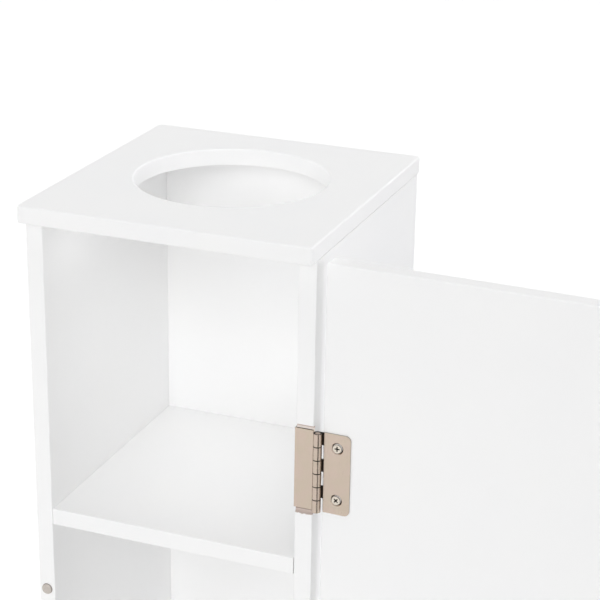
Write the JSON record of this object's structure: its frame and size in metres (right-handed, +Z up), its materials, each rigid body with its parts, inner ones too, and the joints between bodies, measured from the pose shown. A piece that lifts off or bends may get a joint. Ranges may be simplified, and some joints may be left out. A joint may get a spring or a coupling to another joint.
{
  "type": "toilet roll storage cabinet",
  "caption": "Slim free-standing white cabinet for toilet rolls, with a round hole in its top board, a fixed shelf and a hinged full-overlay door, shown open.",
  "frame": {"origin": "on the floor, at the middle of the side panels' footprint, halfway between the four glides", "axes": "+X to the right seen from the front, towards the hinge side; +Y from the open front to the back; +Z up"},
  "size_m": [0.4073, 0.212, 0.62],
  "materials": {
    "painted_board": "satin white paint on fibreboard",
    "dowel_wood": "bare beech",
    "hinge_nickel": "satin nickel plate on steel",
    "screw_nickel": "bright nickel plate on steel",
    "catch_nickel": "nickel plate, slightly dull",
    "fixing_steel": "zinc plate",
    "glide_plastic": "matte white plastic"
  },
  "bodies": {
    "cabinet": {"top_board": "painted_board", "left_side_panel": "painted_board", "right_side_panel": "painted_board", "back_panel": "painted_board", "shelf": "painted_board", "bottom_panel": "painted_board", "plinth": "painted_board", "top_dowels": "dowel_wood", "shelf_dowels": "dowel_wood", "bottom_dowels": "dowel_wood", "plinth_dowels": "dowel_wood", "back_brads": "fixing_steel", "foot_glides": "glide_plastic", "glide_nails": "fixing_steel", "catch_magnet": "catch_nickel", "upper_hinge_frame_leaf": "hinge_nickel", "upper_hinge_pin": "hinge_nickel", "upper_hinge_frame_screws": "screw_nickel", "lower_hinge_frame_leaf": "hinge_nickel", "lower_hinge_pin": "hinge_nickel", "lower_hinge_frame_screws": "screw_nickel"},
    "door": {"door_panel": "painted_board", "knob": "hinge_nickel", "knob_screw": "fixing_steel", "strike_disc": "fixing_steel", "strike_screw": "screw_nickel", "upper_hinge_door_leaf": "hinge_nickel", "upper_hinge_door_screws": "screw_nickel", "lower_hinge_door_leaf": "hinge_nickel", "lower_hinge_door_screws": "screw_nickel"}
  },
  "joints": [
    {"name": "door_hinge", "type": "hinge", "parent": "cabinet", "child": "door", "pos_m": [0.103, -0.09935, 0.3395], "axis": [0, 0, 1], "range_deg": [-178.5, 18]}
  ]
}
